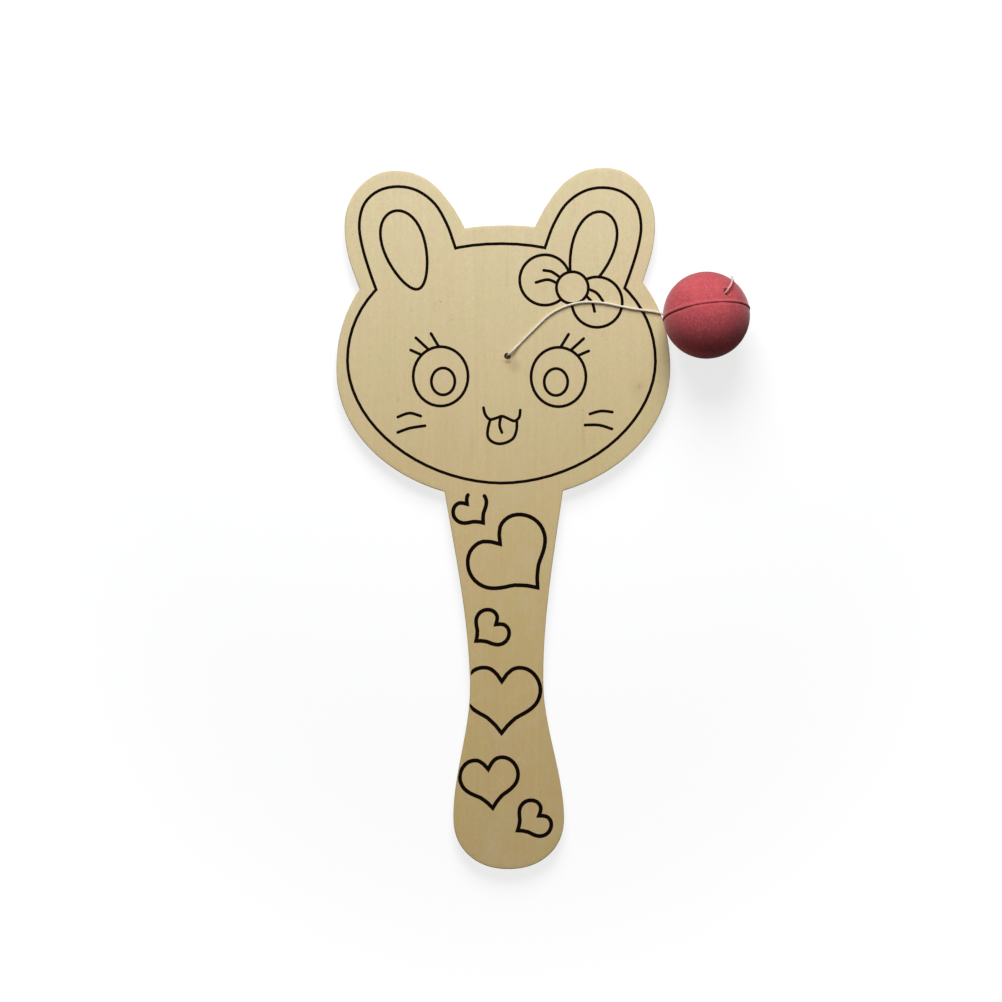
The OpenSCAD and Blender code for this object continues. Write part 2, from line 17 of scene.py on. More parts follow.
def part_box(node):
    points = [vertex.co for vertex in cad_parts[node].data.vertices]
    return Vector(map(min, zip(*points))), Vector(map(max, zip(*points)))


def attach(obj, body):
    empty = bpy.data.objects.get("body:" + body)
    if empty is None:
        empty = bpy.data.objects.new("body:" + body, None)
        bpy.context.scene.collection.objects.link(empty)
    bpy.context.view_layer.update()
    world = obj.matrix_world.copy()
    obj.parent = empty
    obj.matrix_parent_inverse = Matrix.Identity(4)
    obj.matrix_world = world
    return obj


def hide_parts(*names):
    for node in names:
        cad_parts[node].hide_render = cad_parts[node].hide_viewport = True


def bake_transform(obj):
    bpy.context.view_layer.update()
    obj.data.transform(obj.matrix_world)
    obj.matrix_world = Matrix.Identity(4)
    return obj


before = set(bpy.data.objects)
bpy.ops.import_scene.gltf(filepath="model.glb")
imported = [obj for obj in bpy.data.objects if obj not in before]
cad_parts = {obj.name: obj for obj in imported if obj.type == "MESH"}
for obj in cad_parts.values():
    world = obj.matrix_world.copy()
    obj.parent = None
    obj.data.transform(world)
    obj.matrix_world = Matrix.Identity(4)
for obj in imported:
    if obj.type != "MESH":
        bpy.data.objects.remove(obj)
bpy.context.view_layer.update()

mm = 0.001
print("nodes:", sorted(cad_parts))

# %% [markdown]
# ## The camera
# The photograph was taken from straight above, with the paddle turned a little in the picture. A long
# lens far away would give the same picture as a short one near by, except for the ball: it stands
# 31 mm high, so a near camera would push it outwards. A height of 1.6 m puts the ball where it is.

# %% Set the camera above the paddle
photo_px = 1002
mm_per_px = 0.35714
camera_height = 1600 * mm
sensor_w = 36.0
view_middle = (-1.55 * mm, -46.9 * mm)
paddle_lean = math.radians(0.86)

face_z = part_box("front_veneer")[1].z
view_w = photo_px * mm_per_px * mm
camera = bpy.data.objects.new("camera", bpy.data.cameras.new("camera"))
camera.data.sensor_width = sensor_w
camera.data.lens = sensor_w * camera_height / view_w
camera.location = (*view_middle, face_z + camera_height)
camera.rotation_euler = (0, 0, -paddle_lean)
bpy.context.scene.collection.objects.link(camera)
bpy.context.scene.camera = camera
print(f"lens {camera.data.lens:.1f} mm, view {view_w / mm:.1f} mm wide on the paddle's face")

# %% [markdown]
# ## The elastic's route
# The elastic is one limp cord, 0.85 mm thick. It comes up through the hole, lies over the face, drops
# off the edge, goes round the ball's foot in a small coil that stores its spare length, and climbs over
# the ball's shoulder into its hole. A simulation could drop it there, but every point has to stay in the
# space that the part keeps for it, so the same points are used, listed in millimetres.

# %% Points of the stretch on the paddle and of the stretch up the ball
cord_d = 0.85
knot_top = (1.5, 4.8, 2.4)
lead_points = [
    (1.5, 4.8, 3.4), (1.6, 4.9, 4.3), (2.0, 5.3, 5.1), (2.6, 5.9, 5.6), (3.5, 6.8, 5.7),
    (4.7, 8.0, 5.4), (6.2, 9.4, 5.05), (8.3, 11.5, 5.05), (10.8, 13.9, 5.05), (13.3, 16.3, 5.05),
    (16.2, 18.9, 5.05), (20.0, 21.2, 5.05), (24.2, 22.8, 5.05), (28.4, 23.6, 5.05),
    (32.6, 23.6, 5.05), (37.0, 23.1, 5.05), (41.6, 22.1, 5.05), (46.4, 21.1, 5.05),
    (50.6, 20.4, 5.05), (54.4, 19.8, 5.05), (55.7, 19.5, 5.05), (56.7, 19.2, 5.05),
    (57.5, 18.6, 5.0), (58.0, 17.8, 4.8), (58.2, 16.9, 4.4), (58.3, 15.8, 3.8),
    (58.6, 14.6, 3.1), (59.0, 13.4, 2.4), (59.4, 12.1, 1.7), (60.2, 11.0, 1.1), (61.0, 10.0, 0.7),
]
tail_points = [
    (83.8, 25.9, 2.4), (83.5, 27.0, 3.2), (83.2, 27.9, 4.4), (82.9, 28.8, 5.8),
    (82.6, 29.5, 7.4), (82.2, 30.2, 9.3), (81.9, 30.8, 11.3), (81.7, 31.2, 13.3),
    (81.6, 31.3, 15.4), (81.6, 31.2, 17.4), (81.5, 30.8, 19.4), (81.4, 30.2, 21.2),
    (81.2, 29.6, 22.9), (81.0, 29.0, 24.4), (80.7, 28.3, 25.7), (80.3, 27.6, 26.6),
    (79.8, 26.8, 27.0), (79.3, 26.0, 26.9),
]
print(len(lead_points), "points on the paddle,", len(tail_points), "up the ball")

# %% Turns of the coil, and the way into the ball
ball_mid = np.array([72.3, 17.9, 15.5])
ball_r = 15.5
hole_way = np.array([0.445997, 0.498821, 0.743145])
knot_reach = 11.2
coil_r, coil_turns, coil_pitch = 13.6, 2.211, 1.5
layer_rise, coil_start = 1.48, 230
steps_per_turn = 48


def coil_point(turned):
    """A point of the coil: it spirals in, climbs a layer in half a turn and spirals out again."""
    past_middle = turned - 360 * coil_turns
    r = coil_r - coil_pitch * (coil_turns - abs(past_middle) / 360)
    climbed = min(max(past_middle / 180 + 0.5, 0), 1)
    way = math.radians(coil_start + turned)
    return ball_mid + (r * math.cos(way), r * math.sin(way), cord_d / 2 - ball_r + layer_rise * climbed)


def coil_way(turned):
    """The direction of the cord at that point of the coil."""
    way = math.radians(coil_start + turned)
    return np.array([-math.sin(way), math.cos(way), 0])


coil_sweep = 2 * 360 * coil_turns
coil_steps = round(2 * coil_turns * steps_per_turn)
coil_points = [coil_point(coil_sweep * k / coil_steps) for k in range(coil_steps + 1)]
hole_side_shift = np.array([-0.28, 0.1, 0.1])
hole_shares = (0.94, 0.83)
into_ball = [ball_mid + share * ball_r * hole_way + hole_side_shift for share in hole_shares]

# The printed lines are thinner here than in the part, so the stretch that lies on them sinks a little.
lying_z, sink = 5.05, 0.09
lead = [(x, y, z - sink if z == lying_z else z) for x, y, z in lead_points]
route = [
    knot_top, *lead, coil_points[0] - cord_d * coil_way(0),
    *coil_points, coil_points[-1] + cord_d * coil_way(coil_sweep),
    *tail_points, *into_ball, ball_mid + knot_reach * hole_way,
]
print(len(route), "points in the whole route")

# %% [markdown]
# ## A tube along a line
# A curve with a round bevel would make the cord in one call. A mesh tube is written instead, because
# each of its points can then carry how far along and how far round the cord it is. The braid is drawn
# from these two numbers, so that it follows the cord through every bend.

# %% Helper: a smooth line
fine_per_step = 6


def smooth_line(points, step):
    """A smooth curve through the points, as points one step apart."""
    p = np.array([list(q) for q in points], float)
    reach = np.concatenate([[0], np.cumsum(np.linalg.norm(np.diff(p, axis=0), axis=1))])
    slope = np.gradient(p, reach, axis=0)
    at = np.linspace(0, reach[-1], max(8, int(fine_per_step * reach[-1] / step)))
    i = np.clip(np.searchsorted(reach, at, side="right") - 1, 0, len(p) - 2)
    gap = (reach[i + 1] - reach[i])[:, None]
    t = (at - reach[i])[:, None] / gap
    fine = (2 * t**3 - 3 * t**2 + 1) * p[i] + (t**3 - 2 * t**2 + t) * gap * slope[i]
    fine += (3 * t**2 - 2 * t**3) * p[i + 1] + (t**3 - t**2) * gap * slope[i + 1]
    along = np.concatenate([[0], np.cumsum(np.linalg.norm(np.diff(fine, axis=0), axis=1))])
    even = np.linspace(0, along[-1], max(2, round(along[-1] / step) + 1))
    return np.stack([np.interp(even, along, fine[:, k]) for k in range(3)], axis=1)


print("a smooth line up the ball has", len(smooth_line(tail_points, 1)), "points 1 mm apart")


# %% Helpers: meshes
def new_piece(name, points, faces):
    """An object made of these points, in millimetres, and faces."""
    mesh = bpy.data.meshes.new(name)
    mesh.from_pydata([tuple(float(c) * mm for c in p) for p in points], [], faces)
    mesh.update()
    piece = bpy.data.objects.new(name, mesh)
    bpy.context.scene.collection.objects.link(piece)
    return piece


def face_outwards(piece):
    """Turns all faces to the outside of a closed mesh."""
    bm = bmesh.new()
    bm.from_mesh(piece.data)
    bmesh.ops.recalc_face_normals(bm, faces=bm.faces)
    bm.to_mesh(piece.data)
    bm.free()


def shade(piece, sharp_angle):
    """Smooth shading, except across edges that turn more than that many degrees."""
    piece.data.polygons.foreach_set("use_smooth", [True] * len(piece.data.polygons))
    piece.data.set_sharp_from_angle(angle=math.radians(sharp_angle))


def size_mm(piece):
    return [round(d / mm, 2) for d in piece.dimensions]


print("meshes so far:", len(bpy.data.meshes))

# %% Helper: a tube along a line
waves_per_mm, noise_row = 0.45, (3.1, 0.7)
thinning, thinning_mm = 0.22, 8


def tube(name, line, radius, sides, uneven=0.0, thin_from=None):
    """A closed tube along a line. Each point keeps (mm along, cosine and sine round) in 'braid'."""
    forward = np.gradient(line, axis=0)
    forward /= np.linalg.norm(forward, axis=1)[:, None]
    side = np.cross(forward[0], (0, 0, 1) if abs(forward[0][2]) < 0.9 else (1, 0, 0))
    points, marks = [], []
    along = np.concatenate([[0], np.cumsum(np.linalg.norm(np.diff(line, axis=0), axis=1))])
    for p, way, reach in zip(line, forward, along):
        side = side - way * np.dot(side, way)
        side /= np.linalg.norm(side)
        up = np.cross(way, side)
        r = radius * (1 + uneven * noise.noise(Vector((reach * waves_per_mm, *noise_row))))
        if thin_from:
            r *= 1 - thinning * min(1.0, max(0.0, (reach - thin_from) / thinning_mm))
        for k in range(sides):
            a = 2 * math.pi * k / sides
            points.append(p + r * (math.cos(a) * side + math.sin(a) * up))
            marks += [reach, math.cos(a), math.sin(a)]
    rings, n = len(line), sides
    faces = [
        (i * n + k, i * n + (k + 1) % n, (i + 1) * n + (k + 1) % n, (i + 1) * n + k)
        for i in range(rings - 1) for k in range(n)
    ]
    faces += [tuple(reversed(range(n))), tuple(range((rings - 1) * n, rings * n))]
    piece = new_piece(name, points, faces)
    piece.data.attributes.new("braid", "FLOAT_VECTOR", "POINT").data.foreach_set("vector", marks)
    face_outwards(piece)
    shade(piece, 60)
    return piece


print("a tube thins by", thinning, "of its radius where it is pulled taut")

# %% Make the elastic
cord_line = smooth_line(route, 0.3)
cord_length = float(np.linalg.norm(np.diff(cord_line, axis=0), axis=1).sum())
cord_r, cord_sides, cord_uneven = 0.49 * cord_d, 14, 0.035
taut_length = 30
elastic = tube("elastic", cord_line, cord_r, cord_sides, cord_uneven, cord_length - taut_length)
print(f"elastic {cord_length:.1f} mm long, {len(elastic.data.polygons)} faces")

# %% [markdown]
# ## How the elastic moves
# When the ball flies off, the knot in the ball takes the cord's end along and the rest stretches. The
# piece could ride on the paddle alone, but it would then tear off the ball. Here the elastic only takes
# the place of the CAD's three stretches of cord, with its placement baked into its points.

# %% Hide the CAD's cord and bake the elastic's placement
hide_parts("elastic_lead", "elastic_coil", "elastic_tail")
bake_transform(elastic)

# %% [markdown]
# ## Little helpers for materials
# A material is a tree of nodes. Writing each node out takes many lines, so a few short functions add a
# node and give back its output. Colours are written as a screen shows them, from 0 to 255, and turned
# into the linear values that a shader reads. All sizes of a pattern are in millimetres.

# %% Helpers: colours and nodes
def colour(r, g, b):
    """A linear colour from screen values."""
    shares = [c / 255 for c in (r, g, b)]
    return tuple(s / 12.92 if s <= 0.04045 else ((s + 0.055) / 1.055) ** 2.4 for s in shares) + (1.0,)


class Finish:
    """A material in the making: each call adds a node and returns its output."""

    def __init__(self, name, **shader_values):
        self.material = bpy.data.materials.new(name)
        self.material.use_nodes = True
        self.tree = self.material.node_tree
        self.shader = self.tree.nodes["Principled BSDF"]
        for socket, value in shader_values.items():
            self.shader.inputs[socket.replace("_", " ")].default_value = value

    def add(self, kind, inputs, output=0, **settings):
        node = self.tree.nodes.new(kind)
        for setting, value in settings.items():
            setattr(node, setting, value)
        for socket, value in inputs.items():
            if isinstance(value, bpy.types.NodeSocket):
                self.tree.links.new(value, node.inputs[socket])
            else:
                node.inputs[socket].default_value = value
        return node.outputs[output]

    def place(self, size):
        """The piece's own coordinates, counted in this size of pattern, in mm along X, Y and Z."""
        where = self.add("ShaderNodeTexCoord", {}, "Object")
        scale = [1 / (s * mm) for s in size]
        return self.add("ShaderNodeMapping", {"Vector": where, "Scale": scale})

    def noise(self, size, detail=2.0, rough=0.5, warp=0.0):
        inputs = {"Vector": self.place(size), "Scale": 1.0, "Detail": detail}
        inputs |= {"Roughness": rough, "Distortion": warp}
        return self.add("ShaderNodeTexNoise", inputs)

    def spots(self, size, radius):
        """1 in small round spots, one to a cell of this size, and 0 between them."""
        cell = {"Vector": self.place(size), "Scale": 1.0, "Randomness": 1.0}
        away = self.add("ShaderNodeTexVoronoi", cell)
        return self.step(away, radius, radius * 0.45)

    def blot(self, middle, size):
        """1 in the middle of an oval mark with these half lengths, in mm, and 0 outside it."""
        inputs = {0: self.place(size), 1: tuple(m / s for m, s in zip(middle, size))}
        away = self.add("ShaderNodeVectorMath", inputs, "Value", operation="DISTANCE")
        return self.step(away, 1.0, 0.0)

    def step(self, value, low, high):
        """0 at low, 1 at high, and smooth between them."""
        inputs = {"Value": value, "From Min": low, "From Max": high}
        return self.add("ShaderNodeMapRange", inputs, interpolation_type="SMOOTHSTEP")

    def sum(self, how, a, b):
        return self.add("ShaderNodeMath", {0: a, 1: b}, operation=how)

    def mix(self, share, a, b):
        inputs = {0: share, 6: a, 7: b}
        return self.add("ShaderNodeMix", inputs, 2, data_type="RGBA")

    def stain(self, base, where, share, tone):
        """The colour base, with that share of another tone over it where 'where' is 1."""
        return self.mix(self.sum("MULTIPLY", where, share), base, tone)

    def mark(self, name, output="Fac"):
        """A number that the mesh keeps at its points."""
        return self.add("ShaderNodeAttribute", {}, output, attribute_name=name)

    def parts(self, vector):
        node = self.tree.nodes.new("ShaderNodeSeparateXYZ")
        self.tree.links.new(vector, node.inputs[0])
        return node.outputs

    def use(self, base, rough, height, deep_mm):
        """Links the colour, the roughness and the relief, which is deep_mm high, to the shader."""
        self.tree.links.new(base, self.shader.inputs["Base Color"])
        self.tree.links.new(rough, self.shader.inputs["Roughness"])
        bump = self.add("ShaderNodeBump", {"Height": height, "Distance": deep_mm * mm, "Strength": 1.0})
        self.tree.links.new(bump, self.shader.inputs["Normal"])
        return self.material


def dress(piece, body, material, slot, *nodes):
    """Gives a piece its material and body, and lets it stand for CAD nodes. The slot is not used."""
    piece.data.materials.clear()
    piece.data.materials.append(material)
    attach(piece, body)
    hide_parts(*nodes)


print("colour(255, 255, 255) is", colour(255, 255, 255))

# %% [markdown]
# ## The finish of the elastic
# The real cord is a rubber core in a white cotton braid. The braid could be modelled strand by strand,
# but it would cost a hundred thousand faces. Two sets of waves that wind round the cord in opposite
# ways give the same crossing yarns as a relief, and painted shade greys the hollows between them. The
# cord is painted dark brown where it runs in the paddle's hole, as painted shade, and red with the
# rubber's dust where it enters the ball.

# %% Weave the braid as a material
yarns, turn_mm = 5, 3.2
hole_shade_mm, dusty_mm = (3.3, 2.2), (14, 9)


def braid_finish():
    f = Finish("cotton_braid", Specular_IOR_Level=0.25, Sheen_Weight=0.25, Sheen_Roughness=0.5)
    along, across, up = f.parts(f.mark("braid", "Vector"))
    angle = f.sum("ARCTAN2", up, across)
    round_it = f.sum("MULTIPLY", angle, yarns)
    along_it = f.sum("MULTIPLY", along, 2 * math.pi * yarns / turn_mm)
    right = f.sum("SINE", f.sum("ADD", round_it, along_it), 0)
    left = f.sum("SINE", f.sum("SUBTRACT", round_it, along_it), 0)
    relief = f.step(f.sum("MAXIMUM", right, left), -0.6, 1.0)
    fuzz = f.noise((0.12, 0.12, 0.12), 3)
    height = f.sum("ADD", f.sum("MULTIPLY", relief, 0.8), f.sum("MULTIPLY", fuzz, 0.2))
    yarn = f.mix(f.noise((9, 9, 9)), colour(238, 231, 216), colour(226, 216, 198))
    # Painted shade: the hollows between the yarns are painted grey.
    base = f.mix(relief, colour(188, 176, 156), yarn)
    # Painted shade: the cord's first few mm, down in the paddle's hole, are painted dark brown.
    base = f.stain(base, f.step(along, *hole_shade_mm), 0.95, colour(66, 40, 18))
    dusted = f.step(along, *(cord_length - left for left in dusty_mm))
    base = f.stain(base, dusted, 0.8, colour(226, 146, 150))
    rough = f.step(fuzz, -1.2, 1.4)
    return f.use(base, rough, height, 0.035)


braid = braid_finish()
elastic.data.materials.append(braid)
print("braid made of", len(braid.node_tree.nodes), "nodes")

# %% [markdown]
# ## The knots
# One knot stops the elastic behind the paddle and one stops it inside the ball. A lump would do where
# nobody looks, but the paddle's knot shows from behind. Each is wound as the real one is: the cord goes
# down through the middle, turns out at the bottom, winds up round itself and ends in a short cut tag.

# %% Wind the knots
strand_r, strand_sides, strand_step = 0.38, 14, 0.14
core_gap, winding_gap = 0.04, 0.03
steps_round, first_turn = 12, math.radians(30)


def knot_line(tall):
    """The knot's route below its top, which is at the origin: in, out at the bottom and round."""
    low, climb = strand_r - tall, tall - 2 * strand_r
    line = [(0, 0, 0), (0, 0, low * 0.5), (0, 0, low + 0.55), (0.08, 0, low + 0.2)]
    line += [(0.32, 0.01, low + 0.02), (0.62, 0.12, low)]
    winding_r = 2 * strand_r + core_gap
    steps = steps_round * climb / (2 * strand_r + winding_gap)
    for k in range(int(steps) + 1):
        a = first_turn + 2 * math.pi * k / steps_round
        line.append((winding_r * math.cos(a), winding_r * math.sin(a), low + climb * k / steps))
    return line


def knot(name, top, way, tall):
    """A knot whose cord leaves its top, in the direction way."""
    turn = Vector((0, 0, 1)).rotation_difference(Vector(way))
    line = [np.array(turn @ Vector(p)) + np.array(top) for p in knot_line(tall)]
    return tube(name, smooth_line(line, strand_step), strand_r, strand_sides)


paddle_knot_h, ball_knot_h = 2.2, 3.1
paddle_knot = knot("knot_behind_paddle", knot_top, (0, 0, 1), paddle_knot_h)
dress(paddle_knot, "paddle", braid, "elastic", "paddle_knot")
ball_knot = knot("knot_in_ball", ball_mid + knot_reach * hole_way, hole_way, ball_knot_h)
dress(ball_knot, "cord_end", braid, "elastic", "ball_knot")
for piece in (paddle_knot, ball_knot):
    print(piece.name, "is", size_mm(piece), "mm")

# %% [markdown]
# ## The outline of the blank
# The three veneers were glued, sawn to shape and sanded together, so they share one outline. It could
# be typed again, but the CAD part already holds it: the edges round the flat top of the front veneer.
# They are chained into loops, the corners are found, and each stretch between corners is smoothed.

# %% Read the outline off the front veneer
weld, level_within = 1e-7, 2e-6
outline_step, corner_turn = 0.7, 14


def loops_at(node, height):
    """The closed loops round a CAD node's flat face at that height, the longest first, in mm."""
    bm = bmesh.new()
    bm.from_mesh(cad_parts[node].data)
    bmesh.ops.remove_doubles(bm, verts=bm.verts, dist=weld)
    flat = {f for f in bm.faces if all(abs(v.co.z - height) < level_within for v in f.verts)}
    rim = [e for e in bm.edges if sum(f in flat for f in e.link_faces) == 1]
    near = {}
    for e in rim:
        for a, b in (e.verts, reversed(e.verts)):
            near.setdefault(a, []).append(b)
    loops = []
    while near:
        first = next(iter(near))
        loop, here = [], first
        while here in near:
            loop.append((here.co.x / mm, here.co.y / mm))
            onward = [v for v in near.pop(here) if v in near]
            here = onward[0] if onward else first
        loops.append(np.array(loop))
    bm.free()
    return sorted(loops, key=len, reverse=True)


def turn_at(loop):
    """How far the loop turns at each of its points, in degrees."""
    before = loop - np.roll(loop, 1, axis=0)
    after = np.roll(loop, -1, axis=0) - loop
    cross = before[:, 0] * after[:, 1] - before[:, 1] * after[:, 0]
    return np.degrees(np.arctan2(cross, (before * after).sum(1)))


def smooth_outline(loop, step, corner):
    """The loop with even points, smooth between the corners that turn more than that many degrees."""
    turns = turn_at(loop)
    if turns.sum() < 0:
        loop, turns = loop[::-1], turn_at(loop[::-1])
    corners = [i for i in range(len(loop)) if abs(turns[i]) > corner]
    made = []
    for a, b in zip(corners, corners[1:] + [corners[0] + len(loop)]):
        stretch = [(*loop[i % len(loop)], 0) for i in range(a, b + 1)]
        made += [tuple(p) for p in smooth_line(stretch, step)[:-1, :2]]
    return np.array(made), len(corners)


rough_outline, hole_loop = loops_at("front_veneer", face_z)[:2]
outline, corner_count = smooth_outline(rough_outline, outline_step, corner_turn)
hole_mid = (hole_loop.min(0) + hole_loop.max(0)) / 2
hole_r = float(np.ptp(hole_loop, axis=0).mean() / 2)
print(len(rough_outline), "points read,", corner_count, "corners,", len(outline), "points made")
print("hole of radius", round(hole_r, 3), "mm at", hole_mid.round(2))

# %% [markdown]
# ## The veneers
# A sawn board has no razor edges: sanding rounds the outer ones and leaves a fine groove where two
# plies meet. A bevel modifier could round them, but it trips over the long thin faces of a CAD mesh.
# Each ply is laid up from rings instead, every ring the outline drawn in a little at its own height.

# %% Helpers: rings
def drawn_in(loop, inset):
    """The loop moved inwards by that many mm. It runs anticlockwise, so the inside is on its left."""
    ahead = np.roll(loop, -1, axis=0) - loop
    ahead /= np.linalg.norm(ahead, axis=1)[:, None]
    left = np.stack([-ahead[:, 1], ahead[:, 0]], axis=1)
    both = left + np.roll(left, 1, axis=0)
    both /= np.linalg.norm(both, axis=1)[:, None]
    corner = np.clip((both * left).sum(1), 0.5, 1)[:, None]
    return loop + both * inset / corner


def circle(middle, r, count):
    around = np.linspace(0, 2 * math.pi, count, endpoint=False)
    return np.stack([middle[0] + r * np.cos(around), middle[1] + r * np.sin(around)], axis=1)


def cap(rings, loops):
    """Triangles that fill a flat face between two rings of points, given by their first indexes."""
    order = [list(range(start, start + len(loop))) for start, loop in zip(rings, loops)]
    flat = [[Vector((x, y, 0)) for x, y in loop] for loop in loops]
    index = [i for ring in order for i in ring]
    return [tuple(index[i] for i in triangle) for triangle in tessellate_polygon(flat)]


print("drawn in by 1 mm, the outline is", np.ptp(drawn_in(outline, 1), axis=0).round(2), "mm")

# %% Helper: a ply
rim_w = 1.4
hole_sides = 48


def ply(name, side_rings, hole_rings):
    """A board from rings: (inset, height) up the side, then (radius, height) down the hole."""
    points, faces, starts, loops, rim = [], [], [], [], []
    for inset, z in side_rings:
        starts.append(len(points))
        loops.append(drawn_in(outline, inset))
        points += [(x, y, z) for x, y in loops[-1]]
        rim += [max(0.0, 1 - inset / rim_w)] * len(outline)
    for r, z in hole_rings:
        starts.append(len(points))
        loops.append(circle(hole_mid, r, hole_sides))
        points += [(x, y, z) for x, y in loops[-1]]
        rim += [0.0] * hole_sides
    split = len(side_rings)
    for i in [*range(split - 1), *range(split, len(starts) - 1)]:
        n = len(loops[i])
        for k in range(n):
            a, b, up = starts[i] + k, starts[i] + (k + 1) % n, starts[i + 1] - starts[i]
            faces.append((a, b, b + up, a + up))
    faces += cap((starts[split - 1], starts[split]), (loops[split - 1], loops[split]))
    faces += cap((starts[0], starts[-1]), (loops[0], loops[-1]))
    piece = new_piece(name, points, faces)
    piece.data.attributes.new("rim", "FLOAT", "POINT").data.foreach_set("value", rim)
    face_outwards(piece)
    shade(piece, 50)
    return piece


print("a ply's rim is", rim_w, "mm wide, and its hole has", hole_sides, "sides")

# %% The plies' heights and edges
levels = [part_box(n)[0].z / mm for n in ("back_veneer", "core_veneer", "front_veneer")]
z0, z1, z2, z3 = *levels, face_z / mm
recess_r, knot_clear = 2.1, 0.2
recess_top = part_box("paddle_knot")[1].z / mm + knot_clear
groove, ease, ease_steps = 0.07, 0.32, 6

# Each profile is read from its flat face: how far in or out a ring lies, and how far from that face.
outer_ply_edge = [(rim_w, 0), (groove, 0), (groove / 3, 0.04), (0, 0.1)]
core_ply_edge = [(rim_w, 0), (groove, 0), (0.03, 0.06), (0.02, 0.3)]
hole_mouth = [(0.5, 0), (0.1, 0), (0.02, 0.1), (0, 0.25)]
recess_mouth = [(0.6, 0), (0.15, 0), (0.06, 0.08), (0, 0.2)]


def rings_of(profile, at, out, r=0):
    """The profile's rings round the radius r. out is +1 where they rise from the face, or -1."""
    return [(r + inset, at + out * height) for inset, height in profile]


def eased(at, out):
    """Rings round an outer edge at that height, from the edge to the flat face. out is +1 upwards."""
    rings = []
    for a in np.linspace(0, math.pi / 2, ease_steps):
        rings.append((ease * (1 - math.cos(a)), at - out * ease * (1 - math.sin(a))))
    return [*rings, (rim_w, at)]


print("ply heights", [round(z, 2) for z in (z0, z1, z2, z3)], "mm, recess up to", round(recess_top, 2))

# %% Lay up the three plies
front = ply(
    "front_ply",
    [*rings_of(outer_ply_edge, z2, 1), *eased(z3, 1)],
    [*rings_of(hole_mouth, z3, -1, hole_r), (hole_r, z2)],
)
core = ply(
    "core_ply",
    [*rings_of(core_ply_edge, z1, 1), *reversed(rings_of(core_ply_edge, z2, -1))],
    [(hole_r, z2), (hole_r, recess_top), (recess_r, recess_top), (recess_r, z1)],
)
back = ply(
    "back_ply",
    [*reversed(eased(z0, -1)), *reversed(rings_of(outer_ply_edge, z1, -1))],
    [(recess_r, z1), *reversed(rings_of(recess_mouth, z0, 1, recess_r))],
)
for piece in (front, core, back):
    print(piece.name, size_mm(piece), "mm,", len(piece.data.polygons), "faces")

# %% [markdown]
# ## The finish of the wood
# The plies are pale, close-grained and unvarnished. A picture of wood would slide over the corners of
# the board, so the grain is grown in space: noise stretched far along the grain makes the streaks,
# thinner noise the pores, and the cut ends turn darker where the surface faces along the grain. The
# outer plies run along the handle and the core runs across it, as in any plywood. A toy's board isn't
# clean: the tints make it mottled and a few faint marks lie on its face. Painted shade darkens the wood
# towards the end of the handle and fills the hole, and the first marks are a painted shadow of the cord.
# clean: the tints make it mottled, a few faint marks lie on its face, and the drill scorched the hole.

# %% Tints and marks of the wood
# Each tint has the size of its pattern, its texture, the levels between which it sets in, its share
# and its tone. Each mark has its middle, its half lengths in mm and its share. The first three marks,
# below the hole, are a painted shadow of the cord where it rises out of the hole.
wood_tints = {
    "mottling": ((1.3, 2.2, 1.3), (4, 0.65), (0.38, 0.66), 0.2, (196, 178, 138)),
    "fibres": ((0.55, 0.9, 0.55), (3, 0.6), (0.42, 0.62), 0.2, (188, 168, 126)),
    "flush": ((8, 12, 8), (3, 0.6, 0.5), (0.45, 0.68), 0.24, (214, 190, 158)),
    "sallow": ((3.2, 4.6, 3.2), (3, 0.6, 0.8), (0.52, 0.68), 0.22, (212, 200, 140)),
    "rosy": ((2.6, 4.2, 2.6), (2, 0.5, 1.2), (0.52, 0.68), 0.18, (220, 184, 158)),
}
face_marks_and_cord_shadow = [
    ((1.5, 2.75), (2.1, 1.15), 0.6), ((1.7, 3.0), (1.7, 1.9), 0.2), ((3.9, 1.2), (4.0, 3.9), 0.27),
    ((26.2, 59.5), (1.1, 9), 0.12), ((48.4, -6.6), (1.2, 1.8), 0.22), ((48.0, -7.2), (4.5, 6.5), 0.14),
    ((-37.7, -10.1), (0.8, 1.6), 0.25), ((-24.1, 23.8), (0.7, 0.9), 0.22),
    ((28.2, -23.4), (1.2, 11), 0.13), ((1.8, 33.4), (1.1, 8), 0.1), ((-11.4, -26.0), (1.3, 9), 0.1),
]
mark_depth, hole_shade_depth = 2, 100
# Painted shade: towards the end of the handle each tone is multiplied by these factors, adding to the
# lamp's fall-off.
handle_shade_tint = (0.955, 0.88, 0.73)
head_y, handle_y = 95, -125
print(len(wood_tints), "tints and", len(face_marks_and_cord_shadow), "marks")


# %% Grow the wood
def stretched(along_x, fine, long_mm):
    """A size of pattern that is long along the grain and fine across it."""
    return (long_mm, fine, fine * 2.5) if along_x else (fine, long_mm, fine * 2.5)


def grown(f, streaks, along_x, pale, deep):
    """The colour of the wood, with painted shade that makes it darker and yellower from the head to the
    end of the handle.
    """
    to_handle = f.step(f.parts(f.place((1, 1, 1)))[1], head_y, handle_y)
    tones = []
    for tone in (deep, pale):
        tone_in_shade = [c * k for c, k in zip(tone, handle_shade_tint)]
        tones.append(f.mix(to_handle, colour(*tone), colour(*tone_in_shade)))
    base = f.mix(f.step(streaks, 0.3, 0.72), *tones)
    bands = f.noise(stretched(along_x, 9, 160), 2, 0.5, 0.4)
    base = f.stain(base, f.step(bands, 0.4, 0.7), 0.11, colour(198, 174, 122))
    clouds = f.noise((17, 24, 17), 2)
    # The clouds' tone is also painted darker towards the handle, as the same painted shade.
    greenish = f.mix(to_handle, colour(216, 207, 160), colour(200, 184, 120))
    base = f.stain(base, f.step(clouds, 0.42, 0.62), 0.3, greenish)
    for size, texture, levels, share, tone in wood_tints.values():
        base = f.stain(base, f.step(f.noise(size, *texture), *levels), share, colour(*tone))
    return base


